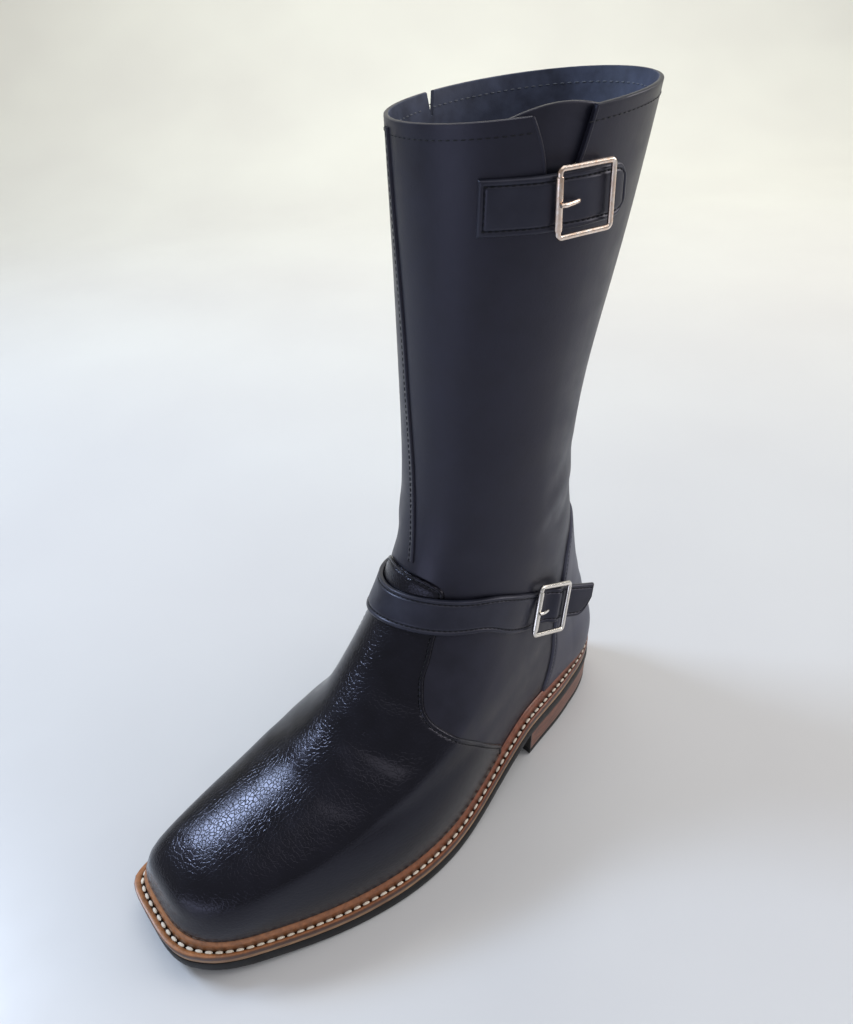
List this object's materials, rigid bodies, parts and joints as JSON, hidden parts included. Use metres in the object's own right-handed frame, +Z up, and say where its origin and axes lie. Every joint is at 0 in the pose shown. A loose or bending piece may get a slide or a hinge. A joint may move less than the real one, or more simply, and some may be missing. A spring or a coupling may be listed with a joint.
{
  "type": "engineer boot",
  "caption": "Left black leather engineer boot, knee-low shaft with a zip inside, buckled straps at ankle and collar, storm welt and stacked heel.",
  "frame": {"origin": "centre of the heel's flat bottom, on the floor", "axes": "+Z up, -Y to the toe, +X to the outer side of the foot"},
  "size_m": [0.118, 0.321, 0.3645],
  "materials": {
    "rubber": "matt black moulded rubber",
    "midsole_leather": "pale trimmed leather edge",
    "stacked_leather": "brown stacked leather, edge dressed",
    "welt_leather": "brown welt leather, waxed",
    "insole_leather": "tan leather board",
    "shaft_leather": "smooth black box leather with a blue sheen",
    "vamp_leather": "polished black box leather",
    "counter_leather": "smooth charcoal black leather",
    "lining_leather": "matt black lining leather",
    "strap_leather": "smooth black strap leather",
    "bright_steel": "bright plated steel wire",
    "pale_nickel": "pale warm nickel plate",
    "zip_metal": "nickel zip"
  },
  "bodies": {
    "boot": {"outsole": "rubber", "midsole": "midsole_leather", "heel_stack": "stacked_leather", "top_lift": "rubber", "welt": "welt_leather", "insole": "insole_leather", "upper": "shaft_leather", "vamp": "vamp_leather", "heel_counter": "counter_leather", "front_seam": "shaft_leather", "gusset": "lining_leather", "ankle_strap": "strap_leather", "ankle_buckle": "bright_steel", "ankle_buckle_prong": "bright_steel", "top_strap": "strap_leather", "top_buckle": "pale_nickel", "top_buckle_prong": "pale_nickel", "zip": "zip_metal", "zip_slider": "zip_metal"},
    "pull": {"zip_pull": "zip_metal"}
  },
  "joints": [
    {"name": "pull_swing", "type": "hinge", "parent": "boot", "child": "pull", "pos_m": [-0.05737, -0.02274, 0.336], "axis": [-0.1294, 0.9916, 0], "range_deg": [0, 150]}
  ]
}
